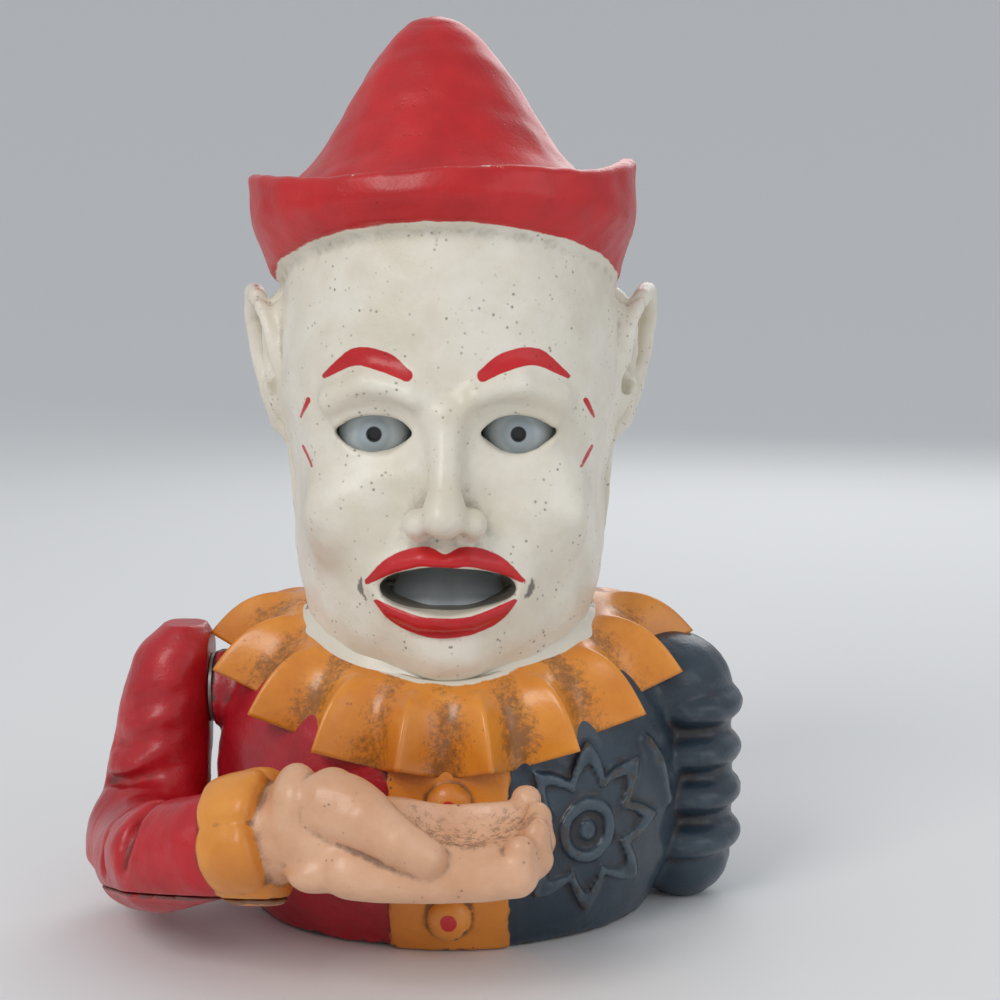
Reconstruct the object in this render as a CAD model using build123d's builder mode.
"""Mechanical coin bank: a cast-iron clown bust whose right hand lifts a coin to its mouth.

Millimetres. X runs to the figure's left hand, Y to its back and Z up. The origin is the centre of the
foot that the bust stands on, straight under the head.
"""

import os
from math import cos, radians, sin

from build123d import *

os.makedirs("parts", exist_ok=True)

# ---- Driving dimensions -------------------------------------------------------------------------
HEIGHT = 190.0  # foot to the tip of the hat
WALL = 3.0  # thickness of the cast walls

# Torso and head as stacked ellipses: height, half width, half depth, shift of the centre in Y
TORSO = [
    (0, 43, 37, 0),
    (10, 48.5, 40.5, 0),
    (22, 51, 42, 0),
    (36, 50.5, 41.5, 0),
    (48, 47, 38.5, 0),
    (58, 40, 33, 0),
    (67, 31, 28, 0),
]
HEAD = [
    (50, 26, 24, -4),
    (62, 29.5, 32, -5),
    (76, 33, 35, -2.5),
    (95, 35, 36.5, -0.5),
    (115, 36, 37, 0.5),
    (135, 35, 36, 1),
    (152, 32.5, 33, 1),
]

# Hat: the cone's profile as radius and height, and the upturned brim
HAT_PROFILE = [(31, 151), (26.5, 160), (20.7, 169), (16.5, 175), (12.6, 181), (8, 186.3)]
BRIM_TOP_Z = 157.0
BRIM_HALF_LENGTH = 44.0
BRIM_HALF_DEPTH = 40.5
BRIM_FRONT_Z = 146.0  # lower edge over the brow
BRIM_SIDE_Z = 135.0  # lower edge over the ears

# Face openings
EYE_X = 14.5
EYE_Z = 104.0
EYE_HALF_WIDTH = 7.4
EYE_HALF_HEIGHT = 4.4
MOUTH_Z = 74.0
MOUTH_HALF_WIDTH = 13.5
MOUTH_HALF_HEIGHT = 4.6

# Ruffled collar
RUFFLES = 18
COLLAR_NECK = (27.0, 24.0, 66.0)
COLLAR_EDGE = (43.0, 42.5)
COLLAR_EDGE_Z = (40.0, 56.0)  # at the chest and at the shoulders

# Puffed left sleeve
SLEEVE_X = 49.5
SLEEVE_WAIST = 11.2
SLEEVE_CREST = 13.8
SLEEVE_BOTTOM_Z = 8.0
SLEEVE_PUFF = 12.6  # height of each of the four puffs

# Relief on the chest
STAR_POINTS = 8
STAR_CENTRE = (28.5, 24.5)
STAR_RADII = (14.0, 9.0)
BAND_HALF_WIDTH = 12.5
BUTTON_RADIUS = 4.5
BUTTON_HEIGHTS = (7.5, 30.0)

# Mechanism: (y, z) of each axis along X, and the lift of the arm
SHAFT = (0.0, 46.0)
TONGUE_AXIS = (-27.0, 67.5)
EYE_AXIS = (-21.0, 104.0)
CRANK_RADIUS, CRANK_ANGLE = 14.0, 50.0
TONGUE_ROD_RADIUS, TONGUE_ROD_ANGLE = 16.0, 45.0
EYE_ROD_RADIUS, EYE_ROD_ANGLE = 9.0, 30.0
EYE_TAIL_RADIUS, EYE_TAIL_ANGLE = 10.0, 30.0
ARM_LIFT = 42.0

SHAFT_RADIUS = 3.0
RUNNING = 0.05  # radial clearance of a running fit
PIN_RADIUS = 1.25
STUD_RADIUS = 1.0
ROD_RADIUS = 0.9
LOOP_RADIUS = 2.7
LOOP_PLAY = 0.35  # the rod loops hang loosely on their studs
PULL_ROD_X = 16.5
EYE_ROD_X = -16.5
CRANK_X = (18.2, 21.4)
LEVER_X = (23.5, 28.5)
RIB_X = (30.5, 33.5)
SHAFT_ENDS = (-66.0, 34.5)
ARM_FACE_X = -52.3
CASE_FACE_X = -51.5

# Case screws, along Y
UPPER_SCREW_Z = 128.0
LOWER_SCREW_Z = 34.0
SCREW_RADIUS = 2.0
UPPER_BACK_Y = 38.6
LOWER_BACK_Y = 43.0

# Foot, base plate and coin trap
PLATE_Z = (5.0, 7.5)
PLATE_SIZE = (39.6, 33.6)
TRAP_CENTRE = (-16.0, 0.0)
TRAP_HOLE_RADIUS = 12.8
TRAP_DOOR_RADIUS = 14.5
TRAP_DOOR_Z = (3.1, 4.8)
TRAP_PIVOT = (2.5, 0.0)
LATCH_PIVOT = (-34.2, 0.0)
LATCH_Z = (1.4, 2.9)
PLATE_SCREWS = [(-29, 19), (29, 19), (0, -29)]

# Right arm: elbow and wrist centres
ELBOW = (-65.5, -11.0, 15.0)
WRIST = (-38.5, -52.0, 28.0)
ELBOW_RADIUS, WRIST_RADIUS = 11.3, 9.8
COVER_SCREWS = [(-71.5, -12.0, 7.6), (-59.3, -30.4, 11.9)]  # x, y, height of the head's seat
ARM_SPLIT_Z = 13.2
PALM_TILT = 17.0
UPPER_ARM = [
    (61, 4.5, 6, -59.5, 0),
    (56, 8.0, 10.5, -60.5, 0),
    (46, 9.0, 12.5, -61.4, 0),
    (32, 9.6, 12.2, -63.2, -2),
    (18, 10.2, 11.6, -65.4, -9.5),
]


def on_yz(centre, radius, angle):
    """A point in the YZ plane at a distance and angle from a centre."""
    return (centre[0] + radius * cos(radians(angle)), centre[1] + radius * sin(radians(angle)))


def across(x, yz):
    """Plane through a point, facing along +X, with its own x along Y and its own y along Z."""
    return Plane(origin=(x, yz[0], yz[1]), x_dir=(0, 1, 0), z_dir=(1, 0, 0))


def facing_back(x, y, z):
    """Plane through a point, facing along +Y, with its own x along -X."""
    return Plane(origin=(x, y, z), x_dir=(-1, 0, 0), z_dir=(0, 1, 0))


def stacked(sections, shrink=0.0):
    """Loft through horizontal ellipses, drawn in by shrink."""
    with BuildPart() as stack:
        for z, half_width, half_depth, centre_y in sections:
            with BuildSketch(Plane((0, centre_y, z))):
                Ellipse(half_width - shrink, half_depth - shrink)
        loft()
    return stack.part


def save(part, name):
    """Labels a finished piece and writes its STEP file."""
    part.label = name
    export_step(part, f"parts/{name}.step")


CRANK_PIN = on_yz(SHAFT, CRANK_RADIUS, CRANK_ANGLE)
TONGUE_STUD = on_yz(TONGUE_AXIS, TONGUE_ROD_RADIUS, TONGUE_ROD_ANGLE)
EYE_ROD_STUD = on_yz(TONGUE_AXIS, EYE_ROD_RADIUS, EYE_ROD_ANGLE)
EYE_TAIL = on_yz(EYE_AXIS, EYE_TAIL_RADIUS, EYE_TAIL_ANGLE)


# ---- Outer form of the bust ---------------------------------------------------------------------
def hat_cone(shrink=0.0):
    """The hat's rounded cone, turned about Z."""
    profile = [(radius - shrink, z - 0.6 * shrink) for radius, z in HAT_PROFILE]
    tip = (0, HEIGHT - shrink)
    with BuildPart() as cone:
        with BuildSketch(Plane.XZ):
            with BuildLine():
                Spline(*profile, tip, tangents=[(-0.55, 1), (-1, 0)])
                Polyline(tip, (0, profile[0][1]), profile[0])
            make_face()
        revolve(axis=Axis.Z)
    return cone.part


def brim_outline(z, grow):
    """The rim's boat shape: a wide oval whose two ends are pinched to points."""
    tip = BRIM_HALF_LENGTH + grow
    front = BRIM_HALF_DEPTH + grow
    with BuildSketch(Plane((0, 0.5, z))) as outline:
        with BuildLine():
            for way in (-1, 1):
                depth = way * (front if way < 0 else front - 1.5)
                Spline(
                    (-tip, 0),
                    (-0.66 * tip, 0.76 * depth),
                    (0, depth),
                    (0.66 * tip, 0.76 * depth),
                    (tip, 0),
                    tangents=[(0.8, way * 0.6), (0.8, -way * 0.6)],
                )
        make_face()
    return outline.sketch


def brim():
    """Upturned brim: an oval at the brow that flares to a pointed, boat-shaped rim."""
    with BuildPart() as band:
        with BuildSketch(Plane((0, 0.5, BRIM_SIDE_Z - 3))):
            Ellipse(36.2, 37.4)
        add(brim_outline(BRIM_TOP_Z - 4, -1))
        loft()
        add(brim_outline(BRIM_TOP_Z - 4, 0))
        extrude(amount=4)
        # the lower edge rises in an arch over the brow
        with BuildSketch(Plane.XZ.offset(-60)):
            with BuildLine():
                ThreePointArc((-40, BRIM_SIDE_Z - 2.5), (0, BRIM_FRONT_Z), (40, BRIM_SIDE_Z - 2.5))
                Polyline((40, BRIM_SIDE_Z - 2.5), (40, 120), (-40, 120), (-40, BRIM_SIDE_Z - 2.5))
            make_face()
        extrude(amount=120, mode=Mode.SUBTRACT)
    return band.part


def ear(side):
    """One ear: an oval shell that stands out from the side of the head."""
    out = Plane(
        origin=(side * 33.0, 3, 113.5),
        x_dir=(0.72 * side, 0.69, 0),
        z_dir=(0.69 * side, -0.72, 0),
    )
    with BuildPart() as shell:
        with BuildSketch(out.offset(-2.5)):
            with Locations((3.6, 0)):
                Ellipse(9.5, 17.5, rotation=6 * side)
        extrude(amount=5)
        fillet(shell.edges().group_by(Axis.Z)[0] + shell.edges().filter_by(GeomType.ELLIPSE), 2)
        with BuildSketch(out.offset(2.5)):
            with Locations((4, 1.5)):
                Ellipse(5, 11, rotation=6 * side)
        extrude(amount=-1.8, mode=Mode.SUBTRACT)
    return shell.part


def ruffles():
    """The collar's folds: cones that fan out from the neck to a scalloped edge."""
    neck_x, neck_y, neck_z = COLLAR_NECK
    edge_x, edge_y = COLLAR_EDGE
    chest_z, shoulder_z = COLLAR_EDGE_Z
    folds = []
    for number in range(RUFFLES):
        angle = radians(-90 + 360 / RUFFLES * number)
        start = Vector(neck_x * cos(angle), neck_y * sin(angle), neck_z)
        drop = chest_z + (shoulder_z - chest_z) * cos(angle) ** 2
        end = Vector(edge_x * cos(angle), edge_y * sin(angle), drop)
        with BuildPart(Plane(origin=(start + end) / 2, z_dir=end - start)) as fold:
            Cone(bottom_radius=2.5, top_radius=6.4, height=(end - start).length)
        folds.append(fold.part)
    return folds


def sleeve(waist, crest, trim):
    """The left sleeve: four puffs turned about an upright axis through the shoulder."""
    with BuildPart() as puffs:
        with BuildSketch(Plane.XZ):
            with BuildLine():
                bottom = SLEEVE_BOTTOM_Z + trim
                top = SLEEVE_BOTTOM_Z + 4 * SLEEVE_PUFF - trim
                edges = [bottom, *[SLEEVE_BOTTOM_Z + k * SLEEVE_PUFF for k in (1, 2, 3)], top]
                for low, high in zip(edges, edges[1:]):
                    ThreePointArc(
                        (SLEEVE_X + waist, low), (SLEEVE_X + crest, (low + high) / 2), (SLEEVE_X + waist, high)
                    )
                Polyline(
                    (SLEEVE_X + waist, top), (SLEEVE_X, top + 3), (SLEEVE_X, bottom), (SLEEVE_X + waist, bottom)
                )
            make_face()
        revolve(axis=Axis((SLEEVE_X, 0, 0), (0, 0, 1)))
    return puffs.part


def star_points():
    """Corners of the eight-pointed star on the left breast, in X and Z."""
    corners = []
    for number in range(2 * STAR_POINTS):
        radius = STAR_RADII[number % 2]
        angle = radians(90 + 180 / STAR_POINTS * number)
        corners.append((STAR_CENTRE[0] + radius * cos(angle), STAR_CENTRE[1] + 1.15 * radius * sin(angle)))
    return corners


def front_relief():
    """Button band and star that stand slightly proud of the chest."""
    proud = [(z, width + 0.9, depth + 0.9, shift) for z, width, depth, shift in TORSO]
    with BuildPart() as relief:
        add(stacked(proud))
        with BuildPart(mode=Mode.PRIVATE) as stencil:
            with BuildSketch(Plane.XZ.offset(25)):
                with Locations((0, 18)):
                    Rectangle(2 * BAND_HALF_WIDTH, 36)
                with BuildLine():
                    Polyline(*star_points(), close=True)
                make_face()
            extrude(amount=30)
        add(stencil.part, mode=Mode.INTERSECT)
    return relief.part


def lips():
    """Raised oval around the mouth."""
    with BuildPart() as oval:
        with BuildSketch(Plane.XZ.offset(30)):
            with Locations((0, MOUTH_Z)):
                Ellipse(MOUTH_HALF_WIDTH + 4, MOUTH_HALF_HEIGHT + 4)
        extrude(amount=10.5)
        fillet(oval.faces().sort_by(Axis.Y)[0].edges(), 2)
    return oval.part


def nose_and_chin():
    """Plain, regular nose and chin."""
    with BuildPart() as features:
        for z, half_width, half_depth, centre_y in [(109, 3, 4, -34.5), (97, 4.8, 8, -36), (87, 8, 11.5, -36)]:
            with BuildSketch(Plane((0, centre_y, z))):
                Ellipse(half_width, half_depth)
        loft()
        with Locations((0, -37.5, 86.5)):
            Sphere(8)
        with Locations((0, -29, 61)):
            Sphere(11)
    return features.part


with BuildPart() as bust:
    add(stacked(TORSO))
    add(stacked(HEAD))
    add(hat_cone())
    add(brim())
    add(ear(-1))
    add(ear(1))
    add(lips())
    add(nose_and_chin())
    add(front_relief())
    add(sleeve(SLEEVE_WAIST, SLEEVE_CREST, 0))
    for fold in ruffles():
        add(fold)
    for button_z in BUTTON_HEIGHTS:
        with BuildSketch(Plane.XZ.offset(38)):
            with Locations((0, button_z)):
                Circle(BUTTON_RADIUS)
        extrude(amount=6)
    with BuildSketch(across(-40, SHAFT)):
        Circle(8)
    extrude(amount=CASE_FACE_X + 40)

# ---- Hollow of the bust -------------------------------------------------------------------------
with BuildPart() as hollow:
    add(stacked(TORSO, WALL))
    add(stacked(HEAD, WALL))
    add(hat_cone(WALL))
    add(sleeve(SLEEVE_WAIST - WALL, SLEEVE_CREST - WALL, WALL))
    with BuildSketch(Plane.XY.offset(-1)):
        Ellipse(TORSO[0][1] - WALL, TORSO[0][2] - WALL)
    extrude(amount=3)

# ---- Bosses, lugs and ribs that the castings carry inside ---------------------------------------
LUG_X = 12.3
LUG_THICKNESS = 2.5
EYE_LUG_X = 23.0
with BuildPart() as fittings:
    # bearing boss on the right flank and bearing rib on the left for the arm shaft
    with BuildSketch(across(-50, SHAFT)):
        Circle(7)
    extrude(amount=7.5)
    with BuildSketch(Plane.YZ.offset(RIB_X[0])):
        with Locations(SHAFT):
            Rectangle(70, 13)
    extrude(amount=RIB_X[1] - RIB_X[0])
    # bosses inside the front that take the two case screws
    with BuildSketch(Plane.XZ.offset(24)):
        with Locations((0, UPPER_SCREW_Z), (0, LOWER_SCREW_Z)):
            Circle(5)
    extrude(amount=16)
    # lugs for the tongue pin and the eye pin
    for side in (-1, 1):
        with Locations((side * (LUG_X + LUG_THICKNESS / 2), -27.6, 67.5)):
            Box(LUG_THICKNESS, 8.4, 7)
        with Locations((side * (EYE_LUG_X + LUG_THICKNESS / 2), -21.2, EYE_AXIS[1])):
            Box(LUG_THICKNESS, 7.4, 7)
    # posts for the base plate screws, each with a web to the wall
    with BuildSketch(Plane.XY.offset(PLATE_Z[1])):
        with Locations(*PLATE_SCREWS):
            Circle(3.5)
        with Locations((-29, 24.2), (29, 24.2)):
            Rectangle(6, 10.4)
        with Locations((0, -33.5)):
            Rectangle(6, 9)
    extrude(amount=10)
    # all of that stays within the skin
    add(bust.part, mode=Mode.INTERSECT)
    # raised seats for the heads of the case screws
    for head_y, z in ((UPPER_BACK_Y, UPPER_SCREW_Z), (LOWER_BACK_Y, LOWER_SCREW_Z)):
        with BuildSketch(Plane.XZ.offset(-head_y)):
            with Locations((0, z)):
                Circle(6)
        extrude(amount=5)

with BuildPart() as case:
    add(bust.part)
    add(hollow.part, mode=Mode.SUBTRACT)
    add(fittings.part)
    # mouth and eyes
    with BuildSketch(Plane.XZ.offset(24)):
        with Locations((0, MOUTH_Z)):
            Ellipse(MOUTH_HALF_WIDTH, MOUTH_HALF_HEIGHT)
        with Locations((-EYE_X, EYE_Z), (EYE_X, EYE_Z)):
            Ellipse(EYE_HALF_WIDTH, EYE_HALF_HEIGHT)
    extrude(amount=30, mode=Mode.SUBTRACT)
    # shaft bearings
    with BuildSketch(across(-56, SHAFT)):
        Circle(SHAFT_RADIUS + RUNNING)
    extrude(amount=RIB_X[1] + 1 + 56, mode=Mode.SUBTRACT)
    # pins of the tongue and the eyes
    with BuildSketch(across(-16, TONGUE_AXIS)):
        Circle(PIN_RADIUS)
    extrude(amount=32, mode=Mode.SUBTRACT)
    with BuildSketch(across(-26, EYE_AXIS)):
        Circle(PIN_RADIUS)
    extrude(amount=52, mode=Mode.SUBTRACT)
    # slot for the thumb lever
    with BuildSketch(Plane.YZ.offset(LEVER_X[0] - 0.8)):
        with BuildLine():
            Polyline((12, 38), (12, 54), (50, 64), (50, 18), (30, 18), (12, 38))
        make_face()
    extrude(amount=LEVER_X[1] - LEVER_X[0] + 1.6, mode=Mode.SUBTRACT)
    # case screw holes
    with BuildSketch(Plane.XZ.offset(31)):
        with Locations((0, UPPER_SCREW_Z), (0, LOWER_SCREW_Z)):
            Circle(SCREW_RADIUS)
    extrude(amount=-80, mode=Mode.SUBTRACT)
    # base plate screw holes
    with BuildSketch(Plane.XY.offset(PLATE_Z[1] - 1)):
        with Locations(*PLATE_SCREWS):
            Circle(1.5)
    extrude(amount=8.5, mode=Mode.SUBTRACT)

with BuildPart() as front_casting:
    add(case.part)
    split(bisect_by=Plane.XZ, keep=Keep.TOP)
save(front_casting.part, "front_casting")

with BuildPart() as rear_casting:
    add(case.part)
    split(bisect_by=Plane.XZ, keep=Keep.BOTTOM)
save(rear_casting.part, "rear_casting")


# ---- Screws and pins of the case ----------------------------------------------------------------
def case_screw(z, head_y, point_y):
    """Round-head slotted screw that draws the two castings together."""
    with BuildPart() as screw:
        with BuildSketch(Plane.XZ.offset(-head_y)):
            with Locations((0, z)):
                Circle(SCREW_RADIUS)
        extrude(amount=head_y - point_y)
        with BuildSketch(Plane.XZ.offset(-head_y)):
            with Locations((0, z)):
                Circle(4.2)
        extrude(amount=-2.6)
        fillet(screw.edges().sort_by(Axis.Y)[-1], 1.6)
        with Locations((0, head_y + 2.6, z)):
            Box(9, 2.2, 1.0, mode=Mode.SUBTRACT)
    return screw.part


save(case_screw(UPPER_SCREW_Z, UPPER_BACK_Y, -30.5), "upper_case_screw")
save(case_screw(LOWER_SCREW_Z, LOWER_BACK_Y, -30.5), "lower_case_screw")


def pin_along_x(start, end, yz, radius):
    """Plain round pin along X."""
    with BuildPart() as pin:
        with BuildSketch(across(start, yz)):
            Circle(radius)
        extrude(amount=end - start)
        chamfer(pin.edges().filter_by(GeomType.CIRCLE), 0.2)
    return pin.part


save(pin_along_x(-15.2, 15.2, TONGUE_AXIS, PIN_RADIUS), "tongue_pin")
save(pin_along_x(-25.8, 25.8, EYE_AXIS, PIN_RADIUS), "eye_pin")

# ---- Foot: base plate, screws and coin trap -----------------------------------------------------
with BuildPart() as base_plate:
    with BuildSketch(Plane.XY.offset(PLATE_Z[0])):
        Ellipse(*PLATE_SIZE)
        with Locations(TRAP_CENTRE):
            Circle(TRAP_HOLE_RADIUS, mode=Mode.SUBTRACT)
        with Locations(*PLATE_SCREWS):
            Circle(1.7, mode=Mode.SUBTRACT)
        with Locations(TRAP_PIVOT, LATCH_PIVOT):
            Circle(1.2, mode=Mode.SUBTRACT)
    extrude(amount=PLATE_Z[1] - PLATE_Z[0])
save(base_plate.part, "base_plate")

with BuildPart() as base_plate_screws:
    with BuildSketch(Plane.XY.offset(PLATE_Z[0] - 1.6)):
        with Locations(*PLATE_SCREWS):
            Circle(3.0)
    extrude(amount=1.6)
    fillet(base_plate_screws.edges().group_by(Axis.Z)[0], 1.0)
    with BuildSketch(Plane.XY.offset(PLATE_Z[0])):
        with Locations(*PLATE_SCREWS):
            Circle(1.5)
    extrude(amount=9)
    for x, y in PLATE_SCREWS:
        with Locations((x, y, PLATE_Z[0] - 1.6)):
            Box(7, 0.8, 1.4, mode=Mode.SUBTRACT)
save(base_plate_screws.part, "base_plate_screws")

door_x = TRAP_CENTRE[0]
pivot_x = TRAP_PIVOT[0]
with BuildPart() as trap_door:
    with BuildSketch(Plane.XY.offset(TRAP_DOOR_Z[0])):
        with Locations(TRAP_CENTRE):
            Circle(TRAP_DOOR_RADIUS)
        with Locations(TRAP_PIVOT):
            Circle(4.0)
        with Locations((pivot_x - 2.5, 0)):
            Rectangle(5, 8)
        with Locations(TRAP_PIVOT):
            Circle(1.2 + RUNNING, mode=Mode.SUBTRACT)
    extrude(amount=TRAP_DOOR_Z[1] - TRAP_DOOR_Z[0])
    # turned-down finger bead
    with BuildSketch(Plane.XY.offset(TRAP_DOOR_Z[0])):
        with Locations((door_x + 6, 0)):
            SlotCenterToCenter(8, 3, rotation=90)
    extrude(amount=-1.4)
save(trap_door.part, "trap_door")


def rivet(centre, head_z, shank_top):
    """Headed rivet that stands upright through the base plate, with its tail spread on top."""
    with BuildPart() as piece:
        with BuildSketch(Plane((*centre, head_z - 1.0))):
            Circle(2.4)
        extrude(amount=1.0)
        fillet(piece.edges().sort_by(Axis.Z)[0], 0.6)
        with BuildSketch(Plane((*centre, head_z))):
            Circle(1.2)
        extrude(amount=shank_top - head_z)
        with BuildSketch(Plane((*centre, PLATE_Z[1]))):
            Circle(2.2)
        extrude(amount=0.9)
    return piece.part


save(rivet(TRAP_PIVOT, TRAP_DOOR_Z[0] - 0.05, PLATE_Z[1]), "trap_pivot_rivet")
save(rivet(LATCH_PIVOT, LATCH_Z[0] - 0.05, PLATE_Z[1]), "latch_rivet")

with BuildPart() as trap_latch:
    with BuildSketch(Plane((*LATCH_PIVOT, LATCH_Z[0]))):
        Circle(3.0)
        with Locations((3.5, 0)):
            SlotCenterToCenter(5, 4)
        Circle(1.2 + RUNNING, mode=Mode.SUBTRACT)
    extrude(amount=LATCH_Z[1] - LATCH_Z[0])
    with BuildSketch(Plane((*LATCH_PIVOT, LATCH_Z[1]))):
        Circle(2.6)
        Circle(1.2 + RUNNING, mode=Mode.SUBTRACT)
    extrude(amount=PLATE_Z[0] - 0.05 - LATCH_Z[1])
save(trap_latch.part, "trap_latch")

# ---- Arm shaft and what it carries --------------------------------------------------------------
with BuildPart() as arm_shaft:
    with BuildSketch(across(SHAFT_ENDS[0], SHAFT)):
        Circle(SHAFT_RADIUS)
    extrude(amount=SHAFT_ENDS[1] - SHAFT_ENDS[0])
    chamfer(arm_shaft.edges().filter_by(GeomType.CIRCLE), 0.4)
    # cross holes for the taper pins of the arm, the crank and the lever
    for x, length in ((-60, 20), (sum(CRANK_X) / 2, 20), (sum(LEVER_X) / 2, 20)):
        with BuildSketch(Plane((x, SHAFT[0], SHAFT[1] - 8))):
            Circle(0.8)
        extrude(amount=16, mode=Mode.SUBTRACT)
save(arm_shaft.part, "arm_shaft")


def cross_pin(x, reach):
    """Upright pin that locks a piece to the shaft."""
    with BuildPart() as pin:
        with BuildSketch(Plane((x, SHAFT[0], SHAFT[1] - reach))):
            Circle(0.8)
        extrude(amount=2 * reach)
    return pin.part


save(cross_pin(-60, 5.0), "arm_cross_pin")
save(cross_pin(sum(CRANK_X) / 2, 6.3), "crank_cross_pin")
save(cross_pin(sum(LEVER_X) / 2, 7.3), "lever_cross_pin")

with BuildPart() as shoulder_washer:
    with BuildSketch(across(CASE_FACE_X - 0.7, SHAFT)):
        Circle(7.5)
        Circle(SHAFT_RADIUS, mode=Mode.SUBTRACT)
    extrude(amount=0.6)
save(shoulder_washer.part, "shoulder_washer")

with BuildPart() as crank:
    with BuildSketch(across(CRANK_X[0], SHAFT)):
        Circle(6)
        with BuildLine():
            # web that tapers from the hub to the crank stud's boss
            along = (cos(radians(CRANK_ANGLE)), sin(radians(CRANK_ANGLE)))
            aside = (-along[1], along[0])
            tip = (CRANK_RADIUS * along[0], CRANK_RADIUS * along[1])
            Polyline(
                (5 * aside[0], 5 * aside[1]),
                (tip[0] + 2.6 * aside[0], tip[1] + 2.6 * aside[1]),
                (tip[0] - 2.6 * aside[0], tip[1] - 2.6 * aside[1]),
                (-5 * aside[0], -5 * aside[1]),
                close=True,
            )
        make_face()
        with Locations(tip):
            Circle(3)
        Circle(SHAFT_RADIUS, mode=Mode.SUBTRACT)
        with Locations(tip):
            Circle(STUD_RADIUS, mode=Mode.SUBTRACT)
    extrude(amount=CRANK_X[1] - CRANK_X[0])
    with BuildSketch(Plane((sum(CRANK_X) / 2, SHAFT[0], SHAFT[1] - 10))):
        Circle(0.8)
    extrude(amount=20, mode=Mode.SUBTRACT)
save(crank.part, "crank")


def stud(start, end, head_start, yz):
    """Small headed stud that a rod loop hangs on."""
    with BuildPart() as piece:
        with BuildSketch(across(min(start, end), yz)):
            Circle(STUD_RADIUS)
        extrude(amount=abs(end - start))
        with BuildSketch(across(head_start, yz)):
            Circle(2.0)
        extrude(amount=0.8)
    return piece.part


save(stud(CRANK_X[1], 14.6, 13.8, CRANK_PIN), "crank_stud")

with BuildPart() as thumb_lever:
    lever = Plane(origin=(LEVER_X[0], *SHAFT), x_dir=(0, cos(radians(12)), sin(radians(12))), z_dir=(1, 0, 0))
    with BuildSketch(lever):
        Circle(7)
        with BuildLine():
            Polyline((0, 4.2), (30, 3.2), (47, 4.0), (47, -0.2), (30, -3.0), (0, -4.2), close=True)
        make_face()
        Circle(SHAFT_RADIUS, mode=Mode.SUBTRACT)
    extrude(amount=LEVER_X[1] - LEVER_X[0])
    # thumb pad
    middle = (LEVER_X[1] - LEVER_X[0]) / 2
    with BuildSketch(lever.offset(middle - 6)):
        with Locations((49, 2.6)):
            Rectangle(10, 3.4)
    extrude(amount=12)
    fillet(thumb_lever.edges().filter_by(Axis.X).sort_by(Axis.Y)[-2:], 1.4)
    with BuildSketch(Plane((sum(LEVER_X) / 2, SHAFT[0], SHAFT[1] - 10))):
        Circle(0.8)
    extrude(amount=20, mode=Mode.SUBTRACT)
save(thumb_lever.part, "thumb_lever")

# ---- Rods ---------------------------------------------------------------------------------------
def loop_rod(x, start, end):
    """Wire rod with a flat loop at each end."""
    dy, dz = end[0] - start[0], end[1] - start[1]
    length = (dy**2 + dz**2) ** 0.5
    direction = Vector(0, dy, dz).normalized()
    with BuildPart() as rod:
        for centre in (start, end):
            with BuildSketch(across(x - ROD_RADIUS, centre)):
                Circle(LOOP_RADIUS)
            extrude(amount=2 * ROD_RADIUS)
        base = Vector(x, *start) + direction * (LOOP_RADIUS - 0.6)
        with BuildSketch(Plane(origin=base, z_dir=direction)):
            Circle(ROD_RADIUS)
        extrude(amount=length - 2 * (LOOP_RADIUS - 0.6))
        for centre in (start, end):
            with BuildSketch(across(x - 2, centre)):
                Circle(STUD_RADIUS + LOOP_PLAY)
            extrude(amount=4, mode=Mode.SUBTRACT)
    return rod.part


save(loop_rod(PULL_ROD_X, TONGUE_STUD, CRANK_PIN), "pull_rod")
save(loop_rod(EYE_ROD_X, EYE_ROD_STUD, EYE_TAIL), "eye_rod")

# ---- Tongue -------------------------------------------------------------------------------------
TONGUE_SLOPE = 28.0
TONGUE_HALF_WIDTH = 11.2
with BuildPart() as tongue:
    slope = radians(TONGUE_SLOPE)
    bed = Plane(
        origin=(-TONGUE_HALF_WIDTH, *TONGUE_AXIS), x_dir=(0, cos(slope), sin(slope)), z_dir=(1, 0, 0)
    )
    with BuildSketch(bed):
        with BuildLine():
            ThreePointArc((-4.2, 0.4), (3, 3.0), (17, 1.8))
            Polyline((17, 1.8), (17, -1.2), (0, -2.8), (-4.2, -1.6), (-4.2, 0.4))
        make_face()
        Circle(2.8)
    extrude(amount=2 * TONGUE_HALF_WIDTH)
    # ear for the pull rod, and boss for the eye rod
    with BuildSketch(bed.offset(TONGUE_HALF_WIDTH + 11)):
        rise = TONGUE_ROD_ANGLE - TONGUE_SLOPE
        stud_at = (TONGUE_ROD_RADIUS * cos(radians(rise)), TONGUE_ROD_RADIUS * sin(radians(rise)))
        with Locations(stud_at):
            Circle(2.4)
        with Locations((stud_at[0], stud_at[1] / 2 - 0.5)):
            Rectangle(4.4, stud_at[1] + 1)
    extrude(amount=2.6)
    with BuildSketch(across(-16, TONGUE_AXIS)):
        Circle(PIN_RADIUS + RUNNING)
    extrude(amount=32, mode=Mode.SUBTRACT)
    with BuildSketch(across(10.5, TONGUE_STUD)):
        Circle(STUD_RADIUS)
    extrude(amount=4, mode=Mode.SUBTRACT)
    with BuildSketch(across(-12, EYE_ROD_STUD)):
        Circle(STUD_RADIUS)
    extrude(amount=6, mode=Mode.SUBTRACT)
save(tongue.part, "tongue")
save(stud(10.5, 18.0, 18.0, TONGUE_STUD), "tongue_stud")
save(stud(-18.0, -6.0, -18.8, EYE_ROD_STUD), "eye_rod_stud")

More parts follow.
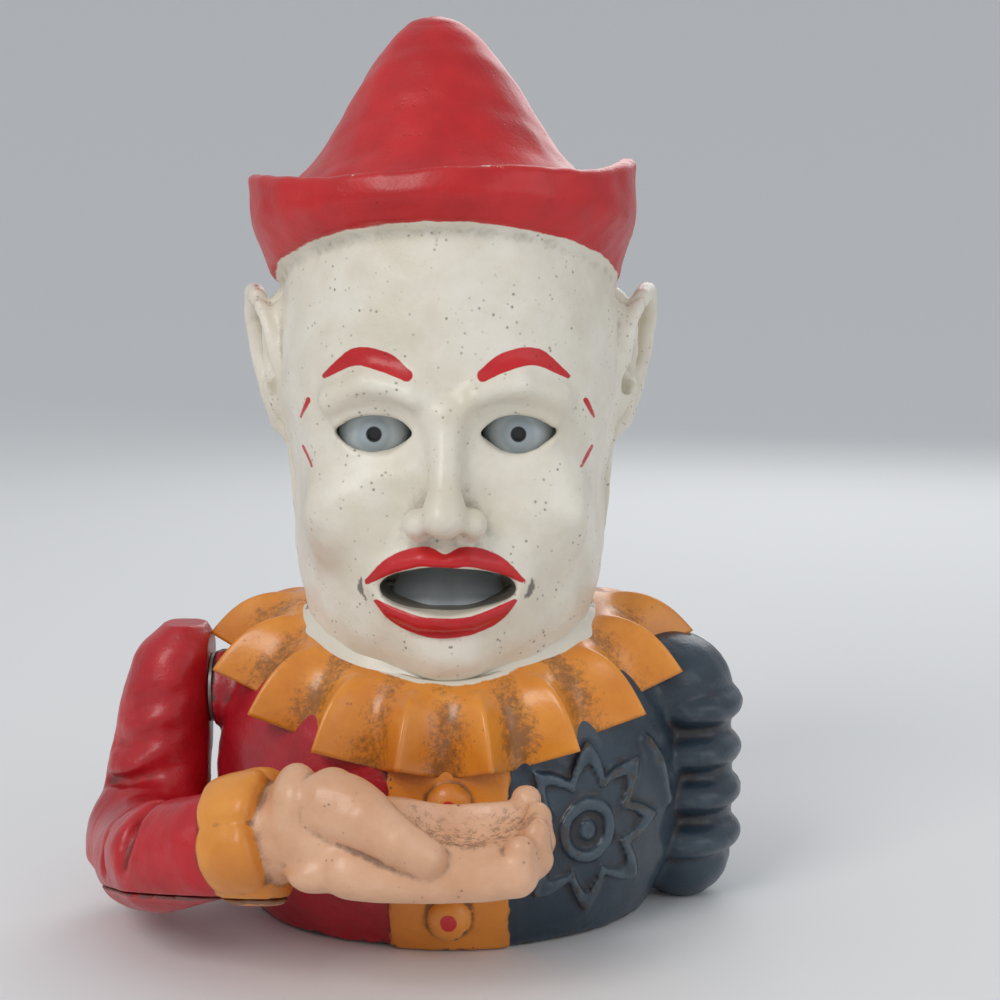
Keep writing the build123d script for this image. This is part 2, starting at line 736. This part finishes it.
# ---- Eyes ---------------------------------------------------------------------------------------
EYE_RADIUS = 8.0
EYE_BORE = PIN_RADIUS + RUNNING
for side, name in ((-1, "right_eye"), (1, "left_eye")):
    with BuildPart() as eye:
        # half outline turned about the eye pin; the inner end is faced flat for the yoke
        with BuildSketch(Plane(origin=(side * EYE_X, *EYE_AXIS), x_dir=(side, 0, 0), z_dir=(0, 0, 1))):
            Circle(EYE_RADIUS)
            with Locations((0, -EYE_RADIUS + EYE_BORE)):
                Rectangle(2 * EYE_RADIUS, 2 * EYE_RADIUS, mode=Mode.SUBTRACT)
            with Locations((-EYE_RADIUS, 0)):
                Rectangle(1.6, 2 * EYE_RADIUS, mode=Mode.SUBTRACT)
        revolve(axis=Axis((0, *EYE_AXIS), (1, 0, 0)))
        # drilled pupil
        with BuildSketch(Plane.XZ.offset(-EYE_AXIS[0] + EYE_RADIUS - 1.6)):
            with Locations((side * EYE_X, EYE_Z)):
                Circle(1.3)
        extrude(amount=4, mode=Mode.SUBTRACT)
        # flat behind, where the eye rod passes
        with Locations((side * EYE_X, EYE_AXIS[0] + 10, EYE_Z)):
            Box(20, 10, 20, mode=Mode.SUBTRACT)
    save(eye.part, name)

YOKE_HALF_WIDTH = EYE_X - EYE_RADIUS + 0.8
with BuildPart() as eye_yoke:
    with BuildSketch(across(-YOKE_HALF_WIDTH, EYE_AXIS)):
        Circle(3.2)
    extrude(amount=2 * YOKE_HALF_WIDTH)
    tail = (EYE_TAIL[0] - EYE_AXIS[0], EYE_TAIL[1] - EYE_AXIS[1])
    with BuildSketch(across(-4, EYE_AXIS)):
        with BuildLine():
            Polyline((0, 2.6), (tail[0], tail[1] + 2), (tail[0] + 2, tail[1] - 1), (0, -2.6), close=True)
        make_face()
    extrude(amount=4)
    # arm that reaches behind the right eye to its tail stud
    with BuildSketch(across(EYE_ROD_X + 2.2, EYE_TAIL)):
        Circle(2.2)
    extrude(amount=-EYE_ROD_X - 2.2)
    with BuildSketch(across(-12, EYE_AXIS)):
        Circle(PIN_RADIUS + RUNNING)
    extrude(amount=24, mode=Mode.SUBTRACT)
    with BuildSketch(across(-20, EYE_TAIL)):
        Circle(STUD_RADIUS)
    extrude(amount=12, mode=Mode.SUBTRACT)
save(eye_yoke.part, "eye_yoke")
save(stud(-18.0, -8.0, -18.8, EYE_TAIL), "eye_tail_stud")

# ---- Right arm ----------------------------------------------------------------------------------
elbow, wrist = Vector(*ELBOW), Vector(*WRIST)
forearm = wrist - elbow


def tapered(start, end, start_radius, end_radius):
    """Cone between two points."""
    with BuildPart(Plane(origin=(start + end) / 2, z_dir=end - start)) as cone:
        Cone(bottom_radius=start_radius, top_radius=end_radius, height=(end - start).length)
    return cone.part


def upper_arm(shrink):
    """The sleeve from shoulder to elbow, in upright order from the elbow."""
    with BuildPart() as sleeve_part:
        for z, half_width, half_depth, centre_x, centre_y in UPPER_ARM:
            with BuildSketch(Plane((centre_x, centre_y, z - shrink * (z > 60)))):
                Ellipse(half_width - shrink, half_depth - shrink)
        loft()
    return sleeve_part.part


with BuildPart() as hand:
    add(tapered(wrist, Vector(-27, -58, 31), 9.0, 9.5))
    with Locations((-24, -60, 32.5)):
        Sphere(9.6)
    add(tapered(Vector(-22, -62, 37.5), Vector(-3, -66.5, 33), 5.4, 4.6))
    with Locations((-3, -66.5, 33)):
        Sphere(4.6)
    # palm, tilted a little away from the body, with a cup open towards the face
    palm = Plane(origin=(-4, -63, 30), x_dir=(1, 0, 0), z_dir=(0, -sin(radians(PALM_TILT)), cos(radians(PALM_TILT))))
    with BuildPart(mode=Mode.PRIVATE) as slab:
        with BuildSketch(palm.offset(-11)):
            RectangleRounded(44, 21, 6)
        extrude(amount=15.5)
        fillet(slab.faces().sort_by(Axis.Z)[0].edges(), 4)
        with BuildSketch(palm.offset(2)):
            with Locations((7.5, 2.2)):
                RectangleRounded(23.5, 19.5, 4)
        extrude(amount=10, mode=Mode.SUBTRACT)
    add(slab.part)

with BuildPart() as arm:
    add(upper_arm(0))
    with Locations(ELBOW):
        Sphere(ELBOW_RADIUS)
    add(tapered(elbow, wrist, ELBOW_RADIUS, WRIST_RADIUS))
    add(tapered(wrist - forearm.normalized() * 6, wrist + forearm.normalized() * 3, 13.0, 12.6))
    add(hand.part)
    # flat face towards the body
    with Locations((ARM_FACE_X + 5, 0, 46)):
        Box(10, 30, 34, mode=Mode.SUBTRACT)
    # shoulder boss
    with BuildSketch(across(ARM_FACE_X, SHAFT)):
        Circle(7.5)
    extrude(amount=-8)

with BuildPart() as arm_hollow:
    add(upper_arm(WALL))
    with Locations(ELBOW):
        Sphere(ELBOW_RADIUS - WALL)
    add(tapered(elbow, wrist - forearm.normalized() * 9, ELBOW_RADIUS - WALL, WRIST_RADIUS - WALL))

with BuildPart() as arm_shell:
    add(arm.part)
    add(arm_hollow.part, mode=Mode.SUBTRACT)
    # shaft boss inside the shoulder, and posts for the cover screws
    with BuildSketch(across(ARM_FACE_X, SHAFT)):
        Circle(6)
    extrude(amount=SHAFT_ENDS[0] - ARM_FACE_X - 2)
    for x, y, seat_z in COVER_SCREWS:
        with BuildSketch(Plane((x, y, seat_z))):
            Circle(3)
        extrude(amount=21 - seat_z)
    with BuildSketch(across(ARM_FACE_X + 1, SHAFT)):
        Circle(SHAFT_RADIUS)
    extrude(amount=SHAFT_ENDS[0] - ARM_FACE_X - 1, mode=Mode.SUBTRACT)
    with BuildSketch(Plane((-60, SHAFT[0], SHAFT[1] - 5))):
        Circle(0.8)
    extrude(amount=10, mode=Mode.SUBTRACT)
    # holes of the cover screws, counterbored for their heads
    for x, y, seat_z in COVER_SCREWS:
        with BuildSketch(Plane((x, y, 0))):
            Circle(1.4)
        extrude(amount=19.5, mode=Mode.SUBTRACT)
        with BuildSketch(Plane((x, y, 0))):
            Circle(2.6)
        extrude(amount=seat_z, mode=Mode.SUBTRACT)

with BuildPart() as arm_casting:
    add(arm_shell.part)
    split(bisect_by=Plane.XY.offset(ARM_SPLIT_Z), keep=Keep.TOP)
save(arm_casting.part, "arm_casting")

with BuildPart() as arm_cover:
    add(arm_shell.part)
    split(bisect_by=Plane.XY.offset(ARM_SPLIT_Z), keep=Keep.BOTTOM)
save(arm_cover.part, "arm_cover")

with BuildPart() as arm_cover_screws:
    for x, y, seat_z in COVER_SCREWS:
        with BuildSketch(Plane((x, y, seat_z - 1.5))):
            Circle(2.4)
        extrude(amount=1.5)
        with BuildSketch(Plane((x, y, seat_z))):
            Circle(1.4)
        extrude(amount=18.5 - seat_z)
        with Locations((x, y, seat_z - 1.5)):
            Box(6, 0.7, 1.2, mode=Mode.SUBTRACT)
save(arm_cover_screws.part, "arm_cover_screws")
